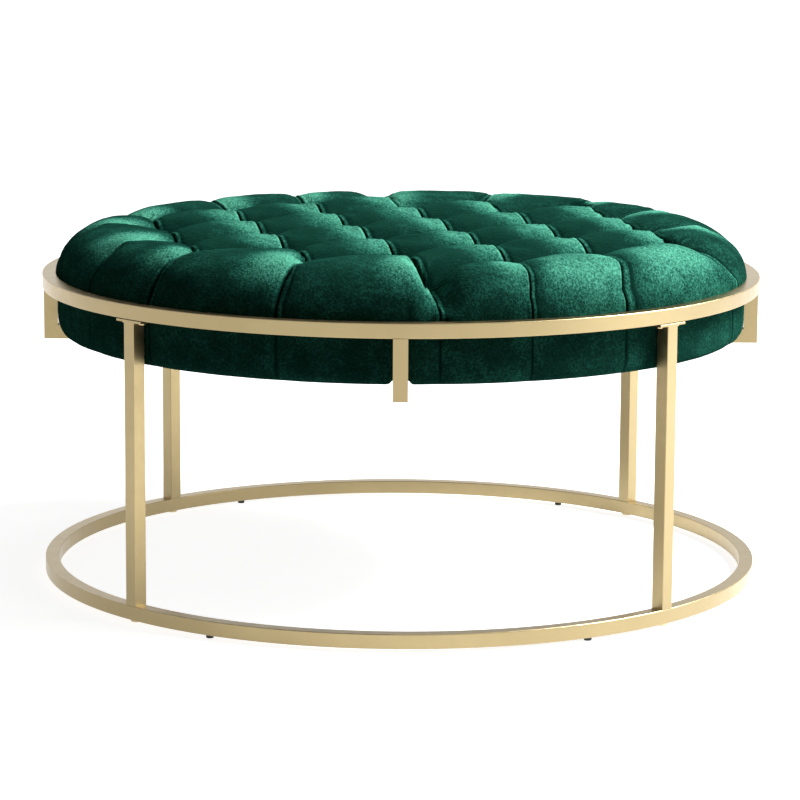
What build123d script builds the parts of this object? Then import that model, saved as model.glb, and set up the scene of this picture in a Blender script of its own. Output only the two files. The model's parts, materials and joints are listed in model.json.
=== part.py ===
from build123d import *
from math import atan2, ceil, cos, degrees, hypot, radians, sin
import os

os.makedirs("parts", exist_ok=True)

# Round ottoman coffee table: a tufted drum cushion held inside a ring of square tube.
# Millimetres, +Z up, the front towards -Y. The origin is on the floor, under the centre.

# The two rings of square tube
ring_diameter = 990.0
tube_side = 19.0
tube_wall = 1.2
tube_corner = 1.0
ring_rise = 397.0

# Push-in glides under the lower ring
glide_diameter = 10.0
glide_height = 5.0
glide_edge = 1.0
glide_stem_diameter = 6.0
glide_stem_length = 8.0
glide_azimuths = {"front_left": 240, "front_right": 300, "back_right": 60, "back_left": 120}

# Legs, with a plate welded on each top
leg_azimuths = {"front_left": 225, "front_right": 315, "back_right": 45, "back_left": 135}
plate_length = 48.0
plate_thickness = 3.0
plate_edge = 0.5
plate_screw_pitch = 31.0

# Rivet nuts in the upper ring: their flange keeps the plate just off the ring
insert_diameter = 7.0
insert_length = 11.0
insert_flange_diameter = 10.0
insert_flange_thickness = 0.8

# Screws, one dictionary a kind
plate_screw = {"shank": 4.8, "head": 9.5, "height": 2.7, "socket": 3.0}
leg_bolt = {"shank": 7.8, "head": 15.0, "height": 3.0, "socket": 5.0}
seat_screw = {"shank": 5.8, "head": 13.0, "height": 3.3, "socket": 4.0}
plug_height = 16.0

# The share of a screw head's height that its hexagon socket takes
socket_share = 0.6

# Hangers and crossed beams that carry the cushion
hanger_drop = 80.0
hanger_azimuths = {"front": 270, "right": 0, "back": 90, "left": 180}
seat_screw_radius = 290.0

# Clearances
soft_clearance = 0.4
sheet_clearance = 0.2
fit_clearance = 0.1
screw_clearance = 0.4

# Cushion: seat board, foam, and the tufted velvet over batting
dust_cover_thickness = 0.8
dust_cover_inset = 15.0
hem_thickness = 2.0
hem_width = 55.0
board_thickness = 15.0
side_padding = 15.6
tee_flange_diameter = 18.0
tee_flange_thickness = 1.2
tee_barrel_diameter = 8.0
tee_barrel_length = 10.0
lower_edge_radius = 18.0

# Heights of the tufted top over the upper ring's top face
pillow_crest = 62.0
pillow_saddle = 52.0
pit_floor = 22.0
crown_rise = 4.0
floor_thickness = 12.0

# Rim roll of the border pillows and the depth of their pleats
crest_inset = 71.0
pleat_draw = 3.0
pleat_sink = 8.0
groove_depth = 5.0
slit_width = 1.2
pit_opening = 5.0
skin_overlap = 3.0

# Tufting: rhombic pillows, their short diagonal turned a little from the X axis. The tufts
# keep a margin inside the crest of the border pillows
short_diagonal = 155.0
long_diagonal = 234.0
tuft_turn = -19.4
tuft_margin = 15.0
pit_diameter = 9.0
twine_diameter = 2.4
stay_diameter = 8.0
stay_thickness = 1.2

# Along a pillow from its middle to its tip: how far the edge has come up from the pit to the
# saddle, and how far the ridge has come up from the pit to the crest
along_shares = (0.0, 0.25, 0.5, 0.75, 0.97)
edge_shares = (0.03, 0.84, 1.0, 0.84, 0.05)
ridge_shares = (1.0, 0.97, 0.86, 0.68, 0.06)

# Along a border pillow's inner edge from tuft to tuft: how far the edge has come up
rim_shares = (0.0, 0.25, 0.5, 0.75, 1.0)
rim_edge_shares = (0.03, 0.84, 1.0, 0.84, 0.03)
puff_power = 2.4

# Tufts further out than this share of the cushion's radius carry a pleat over the rim
rim_share = 0.6

# What follows from the sizes above
ring_radius = ring_diameter / 2
tube_line = ring_radius - tube_side / 2
ring_inner = ring_radius - tube_side
tube_bore = tube_side - 2 * tube_wall
lower_ring_z = glide_height
lower_ring_top = lower_ring_z + tube_side
upper_ring_z = lower_ring_z + ring_rise
upper_ring_top = upper_ring_z + tube_side
plate_z = upper_ring_z - insert_flange_thickness - plate_thickness
beam_z = upper_ring_z - hanger_drop
beam_top = beam_z + tube_side
dust_cover_z = beam_top + sheet_clearance
hem_z = dust_cover_z + dust_cover_thickness + sheet_clearance
board_z = hem_z + hem_thickness + sheet_clearance
board_top = board_z + board_thickness
side_radius = ring_inner - soft_clearance
core_radius = side_radius - groove_depth
crest_radius = side_radius - crest_inset
board_radius = core_radius - side_padding
dust_cover_radius = board_radius - dust_cover_inset
hem_inner_radius = board_radius - hem_width
tuft_floor = upper_ring_top + pit_floor
foam_z = board_top + sheet_clearance
foam_top = tuft_floor - floor_thickness
base_z = tuft_floor - skin_overlap


def across(azimuth, x=0.0, y=0.0):
    """An upright plane: its x runs level along the azimuth and its y runs up."""
    a = radians(azimuth)
    return Plane(origin=(x, y, 0), x_dir=(cos(a), sin(a), 0), z_dir=(sin(a), -cos(a), 0))


def places(azimuths, radius):
    """Points on a circle, one for each azimuth."""
    return [(radius * cos(radians(a)), radius * sin(radians(a))) for a in azimuths]


def pairs(azimuths, radius, pitch):
    """Two points at each azimuth, a pitch apart along the circle's tangent."""
    points = []
    for a in azimuths:
        c, s = cos(radians(a)), sin(radians(a))
        for offset in (-pitch / 2, pitch / 2):
            points.append((radius * c - offset * s, radius * s + offset * c))
    return points


def save(part, name):
    """Labels a finished piece and writes it under its own name."""
    part.label = name
    export_step(part, f"parts/{name}.step")


# Where the fasteners are
leg_points = places(leg_azimuths.values(), tube_line)
plate_screw_points = pairs(leg_azimuths.values(), tube_line, plate_screw_pitch)
seat_screw_points = places(hanger_azimuths.values(), seat_screw_radius)
glide_points = places(glide_azimuths.values(), tube_line)


def ring_section():
    """Square tube section of a ring, on the circle that its centre follows."""
    with Locations((tube_line, tube_side / 2)):
        RectangleRounded(tube_side, tube_side, tube_corner)
        Rectangle(tube_bore, tube_bore, mode=Mode.SUBTRACT)


# Lower ring, with bolt holes through both walls and glide holes in the lower one
with BuildPart() as lower_ring:
    with BuildSketch(Plane.XZ) as lower_section:
        with Locations((0, lower_ring_z)):
            ring_section()
    revolve(axis=Axis.Z)
    with BuildSketch(Plane.XY.offset(lower_ring_z)) as leg_bolt_holes:
        with Locations(leg_points):
            Circle(leg_bolt["shank"] / 2 + screw_clearance)
    extrude(amount=tube_side, mode=Mode.SUBTRACT)
    with BuildSketch(Plane.XY.offset(lower_ring_z)) as glide_holes:
        with Locations(glide_points):
            Circle(glide_stem_diameter / 2 + fit_clearance)
    extrude(amount=tube_wall, mode=Mode.SUBTRACT)
save(lower_ring.part, "lower_ring")

# Upper ring, with holes for the rivet nuts in its lower wall
with BuildPart() as upper_ring:
    with BuildSketch(Plane.XZ) as upper_section:
        with Locations((0, upper_ring_z)):
            ring_section()
    revolve(axis=Axis.Z)
    with BuildSketch(Plane.XY.offset(upper_ring_z)) as insert_holes:
        with Locations(plate_screw_points):
            Circle(insert_diameter / 2 + fit_clearance)
    extrude(amount=tube_wall, mode=Mode.SUBTRACT)
save(upper_ring.part, "upper_ring")

# Legs: square tubes that stand on the lower ring, one face along the ring
for corner, azimuth in leg_azimuths.items():
    spot = Location((*places([azimuth], tube_line)[0], lower_ring_top), (0, 0, azimuth))
    with BuildPart() as leg:
        with BuildSketch(Plane(spot)) as leg_section:
            RectangleRounded(tube_side, tube_side, tube_corner)
            Rectangle(tube_bore, tube_bore, mode=Mode.SUBTRACT)
        extrude(amount=plate_z - lower_ring_top)
    save(leg.part, f"leg_{corner}")

# Leg plates: welded on the legs' tops, with a screw hole at each side of the leg
for corner, azimuth in leg_azimuths.items():
    spot = Location((*places([azimuth], tube_line)[0], plate_z), (0, 0, azimuth))
    with BuildPart() as leg_plate:
        with BuildSketch(Plane(spot)) as plate_outline:
            Rectangle(tube_side, plate_length)
            with GridLocations(0, plate_screw_pitch, 1, 2):
                Circle(plate_screw["shank"] / 2 + screw_clearance, mode=Mode.SUBTRACT)
        extrude(amount=plate_thickness)
        chamfer(leg_plate.faces().sort_by(Axis.Z)[-1].outer_wire().edges(), plate_edge)
    save(leg_plate.part, f"leg_plate_{corner}")

# Threaded plugs welded into the legs' feet
with BuildPart() as foot_plugs:
    for azimuth, point in zip(leg_azimuths.values(), leg_points):
        with BuildSketch(Plane(Location((*point, lower_ring_top), (0, 0, azimuth)))) as plug_section:
            Rectangle(tube_bore - 2 * fit_clearance, tube_bore - 2 * fit_clearance)
            Circle(leg_bolt["shank"] / 2 + fit_clearance, mode=Mode.SUBTRACT)
        extrude(amount=plug_height)
save(foot_plugs.part, "foot_plugs")


def screws(points, seat_z, tip_z, size):
    """Button-head socket screws that point up, from their heads' bearing face to their tips."""
    with BuildPart() as group:
        with BuildSketch(Plane.XY.offset(seat_z)) as shank_outline:
            with Locations(points):
                Circle(size["shank"] / 2)
        extrude(amount=tip_z - seat_z)
        with BuildSketch(Plane.XY.offset(seat_z)) as head_outline:
            with Locations(points):
                Circle(size["head"] / 2)
        extrude(amount=-size["height"])
        rims = group.faces().sort_by(Axis.Z)[: len(points)].edges()
        fillet(rims, size["height"] / 2)
        with BuildSketch(Plane.XY.offset(seat_z - size["height"])) as socket_outline:
            with Locations(points):
                RegularPolygon(size["socket"] / 2, 6, major_radius=False)
        extrude(amount=size["height"] * socket_share, mode=Mode.SUBTRACT)
    return group.part


# Bolts up through the lower ring into the foot plugs
save(screws(leg_points, lower_ring_z, lower_ring_top + plug_height, leg_bolt), "leg_bolts")

# Screws up through the leg plates into the rivet nuts
save(screws(plate_screw_points, plate_z, upper_ring_z + insert_length, plate_screw), "plate_screws")

# Rivet nuts, their flange between the plate and the ring
with BuildPart() as ring_inserts:
    with BuildSketch(Plane.XY.offset(upper_ring_z)) as flange_outline:
        with Locations(plate_screw_points):
            Circle(insert_flange_diameter / 2)
    extrude(amount=-insert_flange_thickness)
    with BuildSketch(Plane.XY.offset(upper_ring_z)) as barrel_outline:
        with Locations(plate_screw_points):
            Circle(insert_diameter / 2)
    extrude(amount=insert_length)
    with BuildSketch(Plane.XY.offset(upper_ring_z - insert_flange_thickness)) as thread_outline:
        with Locations(plate_screw_points):
            Circle(plate_screw["shank"] / 2 + fit_clearance)
    extrude(amount=insert_flange_thickness + insert_length, mode=Mode.SUBTRACT)
save(ring_inserts.part, "ring_inserts")

# Glides: round pads that stand on the floor, each with a stem pushed into the ring
for corner, azimuth in glide_azimuths.items():
    with BuildPart() as glide:
        with BuildSketch(Plane.XY) as pad_outline:
            with Locations(places([azimuth], tube_line)):
                Circle(glide_diameter / 2)
        extrude(amount=glide_height)
        fillet(glide.faces().sort_by(Axis.Z)[0].edges(), glide_edge)
        with BuildSketch(Plane.XY.offset(glide_height)) as stem_outline:
            with Locations(places([azimuth], tube_line)):
                Circle(glide_stem_diameter / 2)
        extrude(amount=glide_stem_length)
    save(glide.part, f"glide_{corner}")


def hanger_outline(inset):
    """Side view of a hanger, its lower end mitred; inset gives the tube's bore."""
    inner, outer = ring_inner + inset, ring_radius - inset
    foot, heel = beam_z + inset, beam_top - inset
    return [(inner, upper_ring_z), (outer, upper_ring_z), (outer, foot), (inner, heel)]


def beam_outline(start, inset):
    """Side view of a beam from start out to its mitred end; inset gives the bore."""
    inner, outer = ring_inner + inset, ring_radius - inset
    foot, heel = beam_z + inset, beam_top - inset
    return [(start, foot), (outer, foot), (inner, heel), (start, heel)]


# Hangers: short tubes welded under the upper ring, flush with its outer face
for side, azimuth in hanger_azimuths.items():
    with BuildPart() as hanger:
        with BuildSketch(across(azimuth)) as hanger_side:
            Polygon(*hanger_outline(0), align=None)
        extrude(amount=tube_side / 2, both=True)
        with BuildSketch(across(azimuth)) as hanger_bore:
            Polygon(*hanger_outline(tube_wall), align=None)
        extrude(amount=tube_bore / 2, both=True, mode=Mode.SUBTRACT)
    save(hanger.part, f"hanger_{side}")


def beam(azimuths, start):
    """Square tube under the cushion, from start out to a mitre at each azimuth's hanger."""
    with BuildPart() as tube:
        for azimuth in azimuths:
            with BuildSketch(across(azimuth)) as beam_side:
                Polygon(*beam_outline(start, 0), align=None)
            extrude(amount=tube_side / 2, both=True)
        for azimuth in azimuths:
            with BuildSketch(across(azimuth)) as beam_bore:
                Polygon(*beam_outline(start, tube_wall), align=None)
            extrude(amount=tube_bore / 2, both=True, mode=Mode.SUBTRACT)
        with BuildSketch(Plane.XY.offset(beam_z)) as beam_holes:
            with Locations(places(azimuths, seat_screw_radius)):
                Circle(seat_screw["shank"] / 2 + screw_clearance)
        extrude(amount=tube_side, mode=Mode.SUBTRACT)
    return tube.part


# The long beam runs front to back, and the short ones are welded to its sides
save(beam([hanger_azimuths["front"], hanger_azimuths["back"]], 0.0), "cross_beam")
save(beam([hanger_azimuths["left"]], tube_side / 2), "cross_beam_left")
save(beam([hanger_azimuths["right"]], tube_side / 2), "cross_beam_right")

# Tufts: the turned rhombic grid, with a pillow's middle on the cushion's centre
turn = radians(tuft_turn)
step_i = (short_diagonal * cos(turn), short_diagonal * sin(turn))
step_j = (
    (step_i[0] + long_diagonal * sin(turn)) / 2,
    (step_i[1] - long_diagonal * cos(turn)) / 2,
)


def tuft(i, j):
    """Place of a tuft, counted from the pillow at the cushion's centre."""
    a, b = i - 3 / 2, j - 1
    return (a * step_i[0] + b * step_j[0], a * step_i[1] + b * step_j[1])


def pillow_tufts(i, j):
    """The four tufts round a pillow, in turn."""
    return [(i, j), (i, j + 1), (i + 1, j), (i + 1, j - 1)]


# Pillows whose four tufts all lie inside the crest of the border pillows
grid_reach = 1 + ceil(2 * crest_radius / min(short_diagonal, long_diagonal))
grid = [(i, j) for j in range(-grid_reach, grid_reach) for i in range(-grid_reach, grid_reach)]
inside = {key for key in grid if hypot(*tuft(*key)) < crest_radius - tuft_margin}
pillows = [key for key in grid if inside.issuperset(pillow_tufts(*key))]
tufts = {key: tuft(*key) for pillow in pillows for key in pillow_tufts(*pillow)}
tuft_points = list(tufts.values())
print(len(tufts), "tufts and", len(pillows), "pillows inside the border")

# The border runs from tuft to tuft round the outside of those pillows
sides = {}
for i, j in pillows:
    loop = pillow_tufts(i, j)
    for start, end in zip(loop, loop[1:] + loop[:1]):
        sides[start, end] = (i, j)
border = {start: end for start, end in sides if (end, start) not in sides}
print(len(border), "tufts along the border")

# A pleat runs from each outer tuft of the border over the rim and down the side, and a
# border pillow lies between two pleats, its inner edge on the tufts between them
def on_rim(key):
    """Whether a border tuft lies far enough out for a pleat over the rim."""
    return hypot(*tufts[key]) > rim_share * side_radius


def ahead(start, end):
    """How far round the cushion one tuft lies ahead of another, in degrees."""
    (a, b), (c, d) = tufts[start], tufts[end]
    return degrees(atan2(a * d - b * c, a * c + b * d))


def between_pleats(keys):
    """The tufts of a border pillow, without an inner one that lies behind either pleat."""
    inner = [key for key in keys[1:-1] if ahead(keys[0], key) > 0 and ahead(key, keys[-1]) > 0]
    return [keys[0], *inner, keys[-1]]


first_tuft = next(key for key in border if on_rim(key))
rim_pillows = [[first_tuft]]
while True:
    following = border[rim_pillows[-1][-1]]
    rim_pillows[-1].append(following)
    if following == first_tuft:
        break
    if on_rim(following):
        rim_pillows.append([following])
rim_pillows = [between_pleats(keys) for keys in rim_pillows]
print(len(rim_pillows), "pillows along the rim")


def crown(x, y):
    """How far the cushion's crown lifts its top at a place, none at the border's crest."""
    return crown_rise * (1 - (hypot(x, y) / crest_radius) ** 2)


def between(low, high, share):
    """A size that is a share of the way from low to high."""
    return low + share * (high - low)


def pillow_outline(half_width, edge_z, ridge_z):
    """Outline of a slice across a pillow: flat below, upright sides, an arc over the top."""
    Polyline((-half_width, edge_z), (-half_width, base_z), (half_width, base_z), (half_width, edge_z))
    ThreePointArc((half_width, edge_z), (0, ridge_z), (-half_width, edge_z))


def rim_outline(inner, edge_z, crest_z, side):
    """Outline of a border pillow's radial slice: inner wall, crest, rim roll, side, lower edge."""
    diagonal = sin(radians(45))
    shoulder = (
        crest_radius + (side - crest_radius) * diagonal,
        upper_ring_top + (crest_z - upper_ring_top) * diagonal,
    )
    lower_arc = lower_edge_radius * (1 - diagonal)
    Polyline((crest_radius, base_z), (inner, base_z), (inner, edge_z))
    TangentArc((crest_radius, crest_z), (inner, edge_z), tangent=(-1, 0))
    TangentArc((crest_radius, crest_z), shoulder, tangent=(1, 0))
    TangentArc((side, upper_ring_top), shoulder, tangent=(0, 1))
    Line((side, upper_ring_top), (side, hem_z + lower_edge_radius))
    ThreePointArc(
        (side, hem_z + lower_edge_radius),
        (side - lower_arc, hem_z + lower_arc),
        (side - lower_edge_radius, hem_z),
    )
    Polyline((side - lower_edge_radius, hem_z), (crest_radius, hem_z), (crest_radius, base_z))


def outward(points, distance):
    """Moves an open path sideways, away from the cushion's centre, with its corners mitred."""
    path = [Vector(*point) for point in points]
    normals = []
    for start, end in zip(path, path[1:]):
        along = (end - start).normalized()
        normals.append(Vector(along.Y, -along.X))
    shifts = [normals[0]]
    for before, after in zip(normals, normals[1:]):
        shifts.append((before + after) / (1 + before.dot(after)))
    shifts.append(normals[-1])
    return [point + shift * distance for point, shift in zip(path, shifts)]


def rim_stations(keys):
    """Slices of a border pillow from pleat to pleat, one list for each edge inside it."""
    path = outward([tufts[key] for key in keys], slit_width / 2)
    first, last = tufts[keys[0]], tufts[keys[-1]]
    start = degrees(atan2(first[1], first[0]))
    span = (degrees(atan2(last[1], last[0])) - start) % 360
    gap = degrees(slit_width / 2 / side_radius)
    runs = []
    for edge, (a, b) in enumerate(zip(path, path[1:])):
        run = []
        for share, edge_share in zip(rim_shares, rim_edge_shares):
            point = a + (b - a) * share
            angle = (degrees(atan2(point.Y, point.X)) - start) % 360
            inner = hypot(point.X, point.Y)
            if edge == 0 and share == 0:
                angle, inner = gap, hypot(*first) + pit_opening
            if edge == len(path) - 2 and share == 1:
                angle, inner = span - gap, hypot(*last) + pit_opening
            puff = 1 - abs(2 * angle / span - 1) ** puff_power
            run.append((start + angle, inner, edge_share, puff))
        runs.append(run)
    return runs


# Tufted cushion: velvet over batting, tucked under the board, hollow for foam and board
with BuildPart() as tufted_cushion:
    with BuildSketch(Plane.XZ) as core_section:
        with BuildLine():
            Polyline((0, tuft_floor), (0, hem_z), (core_radius - lower_edge_radius, hem_z))
            TangentArc(
                (core_radius - lower_edge_radius, hem_z),
                (core_radius, hem_z + lower_edge_radius),
                tangent=(1, 0),
            )
            Line((core_radius, hem_z + lower_edge_radius), (core_radius, upper_ring_top))
            ThreePointArc(
                (core_radius, upper_ring_top),
                (
                    between(crest_radius, core_radius, sin(radians(45))),
                    between(upper_ring_top, tuft_floor, sin(radians(45))),
                ),
                (crest_radius, tuft_floor),
            )
            Line((crest_radius, tuft_floor), (0, tuft_floor))
        make_face()
    revolve(axis=Axis.Z)

    # Border pillows
    stuffing = []
    for keys in rim_pillows:
        for run in rim_stations(keys):
            for angle, inner, edge_share, puff in run:
                with BuildSketch(across(angle)) as rim_slice:
                    with BuildLine():
                        rim_outline(
                            inner,
                            upper_ring_top + between(pit_floor, pillow_saddle, edge_share),
                            upper_ring_top + pillow_crest - pleat_sink * (1 - puff),
                            side_radius - pleat_draw * (1 - puff),
                        )
                    make_face()
            stuffing.append(loft(mode=Mode.PRIVATE))

    # Pillows inside the border, in two halves that meet on the short diagonal
    inradius = short_diagonal * long_diagonal / hypot(short_diagonal, long_diagonal) / 2
    kept = 1 - slit_width / 2 / inradius
    for i, j in pillows:
        corner, opposite = tufts[i, j], tufts[i + 1, j]
        middle = ((corner[0] + opposite[0]) / 2, (corner[1] + opposite[1]) / 2)
        top = upper_ring_top + crown(*middle)
        for direction in (1, -1):
            for along, edge_share, ridge_share in zip(along_shares, edge_shares, ridge_shares):
                reach = direction * along * kept * long_diagonal / 2
                spot = (middle[0] + reach * sin(turn), middle[1] - reach * cos(turn))
                edge_z = top + between(pit_floor, pillow_saddle, edge_share)
                with BuildSketch(across(tuft_turn, *spot)) as pillow_slice:
                    with BuildLine():
                        pillow_outline(
                            (1 - along) * kept * short_diagonal / 2,
                            edge_z,
                            top + between(pit_floor, pillow_crest, ridge_share),
                        )
                    make_face()
            stuffing.append(loft(mode=Mode.PRIVATE))
    add(stuffing)

    # Hollow for the board and the foam, and the round opening inside the tucked hem
    with BuildSketch(Plane.XZ) as hollow_section:
        with Locations((0, board_z - sheet_clearance)):
            Rectangle(
                board_radius + sheet_clearance,
                foam_top - board_z + 2 * sheet_clearance,
                align=(Align.MIN, Align.MIN),
            )
        with Locations((0, hem_z)):
            Rectangle(hem_inner_radius, hem_thickness, align=(Align.MIN, Align.MIN))
    revolve(axis=Axis.Z, mode=Mode.SUBTRACT)

    # Open pits between the pillows, and a hole for each tuft's twine
    with BuildSketch(Plane.XY.offset(tuft_floor)) as pits:
        with Locations(tuft_points):
            Circle(pit_diameter / 2)
    extrude(amount=pillow_crest, mode=Mode.SUBTRACT)
    with BuildSketch(Plane.XY.offset(foam_top)) as twine_holes:
        with Locations(tuft_points):
            Circle(twine_diameter / 2 + fit_clearance)
    extrude(amount=floor_thickness, mode=Mode.SUBTRACT)
save(tufted_cushion.part, "tufted_cushion")

# Foam slab on the board, with pockets over the tee nuts
with BuildPart() as foam_core:
    with BuildSketch(Plane.XY.offset(foam_z)) as foam_outline:
        Circle(board_radius)
        with Locations(tuft_points):
            Circle(twine_diameter / 2 + fit_clearance, mode=Mode.SUBTRACT)
    extrude(amount=foam_top - foam_z)
    with BuildSketch(Plane.XY.offset(foam_z)) as pocket_outline:
        with Locations(seat_screw_points):
            Circle(tee_flange_diameter / 2 + sheet_clearance)
    extrude(amount=tee_flange_thickness, mode=Mode.SUBTRACT)
save(foam_core.part, "foam_core")

# Seat board of plywood
with BuildPart() as seat_board:
    with BuildSketch(Plane.XY.offset(board_z)) as board_outline:
        Circle(board_radius)
        with Locations(tuft_points):
            Circle(twine_diameter / 2 + fit_clearance, mode=Mode.SUBTRACT)
        with Locations(seat_screw_points):
            Circle(tee_barrel_diameter / 2 + fit_clearance, mode=Mode.SUBTRACT)
    extrude(amount=board_thickness)
save(seat_board.part, "seat_board")

# Tee nuts, their flanges on top of the board
with BuildPart() as tee_nuts:
    with BuildSketch(Plane.XY.offset(board_top)) as tee_flange_outline:
        with Locations(seat_screw_points):
            Circle(tee_flange_diameter / 2)
    extrude(amount=tee_flange_thickness)
    with BuildSketch(Plane.XY.offset(board_top)) as tee_barrel_outline:
        with Locations(seat_screw_points):
            Circle(tee_barrel_diameter / 2)
    extrude(amount=-tee_barrel_length)
    with BuildSketch(Plane.XY.offset(board_top - tee_barrel_length)) as tee_bore_outline:
        with Locations(seat_screw_points):
            Circle(seat_screw["shank"] / 2 + fit_clearance)
    extrude(amount=tee_barrel_length + tee_flange_thickness, mode=Mode.SUBTRACT)
save(tee_nuts.part, "tee_nuts")

# Screws up through the beams into the tee nuts
save(screws(seat_screw_points, beam_z, board_top, seat_screw), "seat_screws")

# Twines of the tufts: a stay under the board, the twine, and a stay in the pit
with BuildPart() as tuft_twines:
    with BuildSketch(Plane.XY.offset(board_z)) as lower_stay_outline:
        with Locations(tuft_points):
            Circle(stay_diameter / 2)
    extrude(amount=-stay_thickness)
    with BuildSketch(Plane.XY.offset(board_z)) as twine_outline:
        with Locations(tuft_points):
            Circle(twine_diameter / 2)
    extrude(amount=tuft_floor - board_z)
    with BuildSketch(Plane.XY.offset(tuft_floor)) as upper_stay_outline:
        with Locations(tuft_points):
            Circle(stay_diameter / 2)
    extrude(amount=stay_thickness)
save(tuft_twines.part, "tuft_twines")

# Dust cover of thin black cloth between the cushion and the beams
with BuildPart() as dust_cover:
    with BuildSketch(Plane.XY.offset(dust_cover_z)) as dust_cover_outline:
        Circle(dust_cover_radius)
        with Locations(seat_screw_points):
            Circle(seat_screw["shank"] / 2 + screw_clearance, mode=Mode.SUBTRACT)
    extrude(amount=dust_cover_thickness)
save(dust_cover.part, "dust_cover")
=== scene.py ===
# %% [markdown]
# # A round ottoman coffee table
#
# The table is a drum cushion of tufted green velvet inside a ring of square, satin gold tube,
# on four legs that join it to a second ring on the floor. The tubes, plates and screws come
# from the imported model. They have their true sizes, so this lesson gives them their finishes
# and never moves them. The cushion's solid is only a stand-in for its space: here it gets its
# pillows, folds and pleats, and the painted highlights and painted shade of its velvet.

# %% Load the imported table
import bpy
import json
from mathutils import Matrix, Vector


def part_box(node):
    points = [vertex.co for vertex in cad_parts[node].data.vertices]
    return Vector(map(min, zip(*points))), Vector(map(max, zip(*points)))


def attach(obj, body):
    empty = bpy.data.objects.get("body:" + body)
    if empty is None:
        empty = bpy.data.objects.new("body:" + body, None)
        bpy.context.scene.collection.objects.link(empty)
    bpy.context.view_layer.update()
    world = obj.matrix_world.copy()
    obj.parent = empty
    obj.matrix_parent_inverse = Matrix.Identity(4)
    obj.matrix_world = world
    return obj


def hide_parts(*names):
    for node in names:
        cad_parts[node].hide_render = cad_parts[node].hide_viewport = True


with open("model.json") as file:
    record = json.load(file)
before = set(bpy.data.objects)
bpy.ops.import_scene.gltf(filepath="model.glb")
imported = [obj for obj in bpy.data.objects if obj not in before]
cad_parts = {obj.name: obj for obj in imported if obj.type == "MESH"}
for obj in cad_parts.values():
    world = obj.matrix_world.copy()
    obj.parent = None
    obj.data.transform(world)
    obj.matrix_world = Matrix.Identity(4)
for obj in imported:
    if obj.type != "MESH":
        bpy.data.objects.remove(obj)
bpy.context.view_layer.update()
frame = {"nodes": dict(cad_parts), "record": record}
print("pieces from the packed model:", len(frame["nodes"]))

# %% What the lesson needs from Blender and Python
import json
from math import atan2, cos, exp, hypot, pi, radians, sin

import bmesh
import bpy
from mathutils import Matrix, Vector, noise

MM = 0.001
scene = bpy.context.scene
scene.view_settings.view_transform = "Standard"
print("colours are shown as", scene.view_settings.view_transform)

# %% [markdown]
# ## Camera
#
# A picture of furniture is usually taken from far away with a long lens, so that the two
# rings look almost like plain ellipses. This camera stands under five metres away, and about
# as high as the eyes of someone seated. Its height and tilt decide how open the rings look,
# and the tiny roll is there because a real tripod is never quite level.

# %% Camera in front of the table
CAMERA_PLACE = (-0.0004, -4.6082, 1.0606)
LOOK_DOWN, ROLL = 10.138, 0.36
SENSOR_WIDTH, FOCAL_LENGTH, SEES_AS_FAR_AS = 36.0, 150.87, 60.0
lens = bpy.data.cameras.new("camera")
lens.sensor_width = SENSOR_WIDTH
lens.lens = FOCAL_LENGTH
lens.clip_end = SEES_AS_FAR_AS
camera = bpy.data.objects.new("camera", lens)
scene.collection.objects.link(camera)
camera.matrix_world = (
    Matrix.Translation(CAMERA_PLACE)
    @ Matrix.Rotation(radians(90 - LOOK_DOWN), 4, "X")
    @ Matrix.Rotation(radians(ROLL), 4, "Z")
)
scene.camera = camera
print("camera at", [round(c, 3) for c in camera.matrix_world.translation])

# %% [markdown]
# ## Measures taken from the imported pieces
#
# The cushion has to sit exactly inside the upper ring, so every height and radius starts from
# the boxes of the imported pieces. They are kept in millimetres, because upholstery is easier
# to think about in those. The crest is the line along which the border pillows are highest.

# %% Heights and radii in millimetres
CREST_TO_SIDE = 71
LOWER_EDGE = 18
TURNED_IN = 60
cushion_low, cushion_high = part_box("tufted_cushion")
RING_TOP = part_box("upper_ring")[1].z / MM
HEM = cushion_low.z / MM
SIDE = cushion_high.x / MM
CREST = SIDE - CREST_TO_SIDE
print("ring top", round(RING_TOP, 1), "hem", round(HEM, 1), "cushion radius", round(SIDE, 1))

# %% [markdown]
# ## Where the tufts are
#
# Diamond tufting is a slanted grid. Each tuft is a stitch pulled down through the foam, and
# four tufts make one pillow. Two numbers and an angle make the grid: the pillow's short
# diagonal, its long diagonal, and how far the grid is turned. One pillow has its middle on the
# cushion's centre. The tufts that lie inside the border's crest are kept, and the outer ones
# carry a pleat over the rim.

# %% Grid of tufts
SHORT, LONG, TURN = 155.0, 234.0, radians(-19.4)
STEP_I = Vector((SHORT * cos(TURN), SHORT * sin(TURN)))
STEP_J = (STEP_I + LONG * Vector((sin(TURN), -cos(TURN)))) / 2
CENTRE_I, CENTRE_J = 1.5, 1
GRID_REACH, INSIDE_CREST = 7, 15


def tuft(i, j):
    """Place of a tuft on the grid, seen from above."""
    return (i - CENTRE_I) * STEP_I + (j - CENTRE_J) * STEP_J


def pillow_tufts(i, j):
    """The four tufts round a pillow, in turn."""
    return [(i, j), (i, j + 1), (i + 1, j), (i + 1, j - 1)]


steps = range(-GRID_REACH, GRID_REACH + 1)
grid = [(i, j) for j in steps for i in steps]
inside = {key for key in grid if tuft(*key).length < CREST - INSIDE_CREST}
pillows = [key for key in grid if inside.issuperset(pillow_tufts(*key))]
tufts = {key: tuft(*key) for pillow in pillows for key in pillow_tufts(*pillow)}
print(len(tufts), "tufts,", len(pillows), "pillows inside the border")

# %% The border's edges, in turn round the cushion
PLEAT_SHARE = 0.6
sides = set()
for pillow in pillows:
    loop = pillow_tufts(*pillow)
    sides.update(zip(loop, loop[1:] + loop[:1]))
border = {start: end for start, end in sides if (end, start) not in sides}


def has_pleat(key):
    """Whether a border tuft is far enough out to carry a pleat over the rim."""
    return tufts[key].length > PLEAT_SHARE * SIDE


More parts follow.
